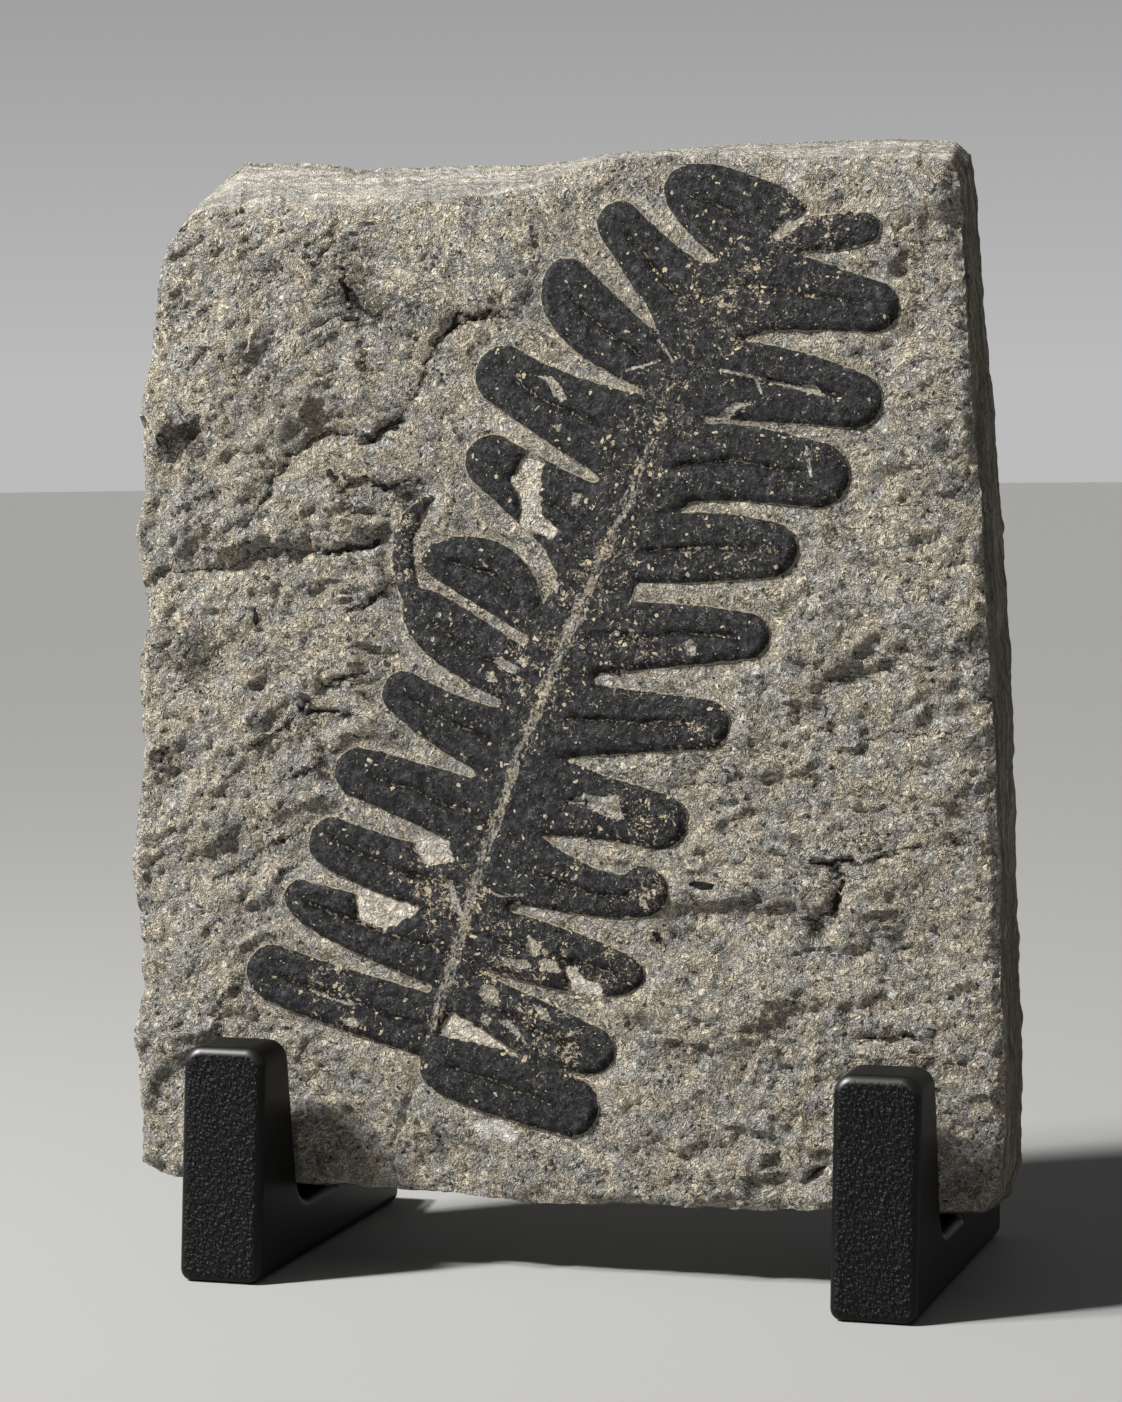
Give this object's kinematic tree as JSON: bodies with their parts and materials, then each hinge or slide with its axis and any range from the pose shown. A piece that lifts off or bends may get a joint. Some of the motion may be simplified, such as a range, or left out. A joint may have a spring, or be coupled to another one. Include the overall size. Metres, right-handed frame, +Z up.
{
  "type": "fossil fern plate",
  "caption": "Slab of speckled stone with the carbonised frond of a seed fern on its face, leaning back on a pair of black holders.",
  "frame": {"origin": "middle of the footprint at floor level", "axes": "X to the right, Y from the face to the back, Z up"},
  "size_m": [0.196, 0.088, 0.2372],
  "materials": {
    "stone_slab": "rough grey-beige sandstone, speckled blue-grey and tan",
    "fern_frond": "carbon film, satin charcoal with stone-coloured flecks",
    "left_holder": "black, grained like leather",
    "right_holder": "black, grained like leather"
  },
  "bodies": {
    "root": {"stone_slab": "stone_slab", "fern_frond": "fern_frond", "left_holder": "left_holder", "right_holder": "right_holder"}
  },
  "joints": []
}
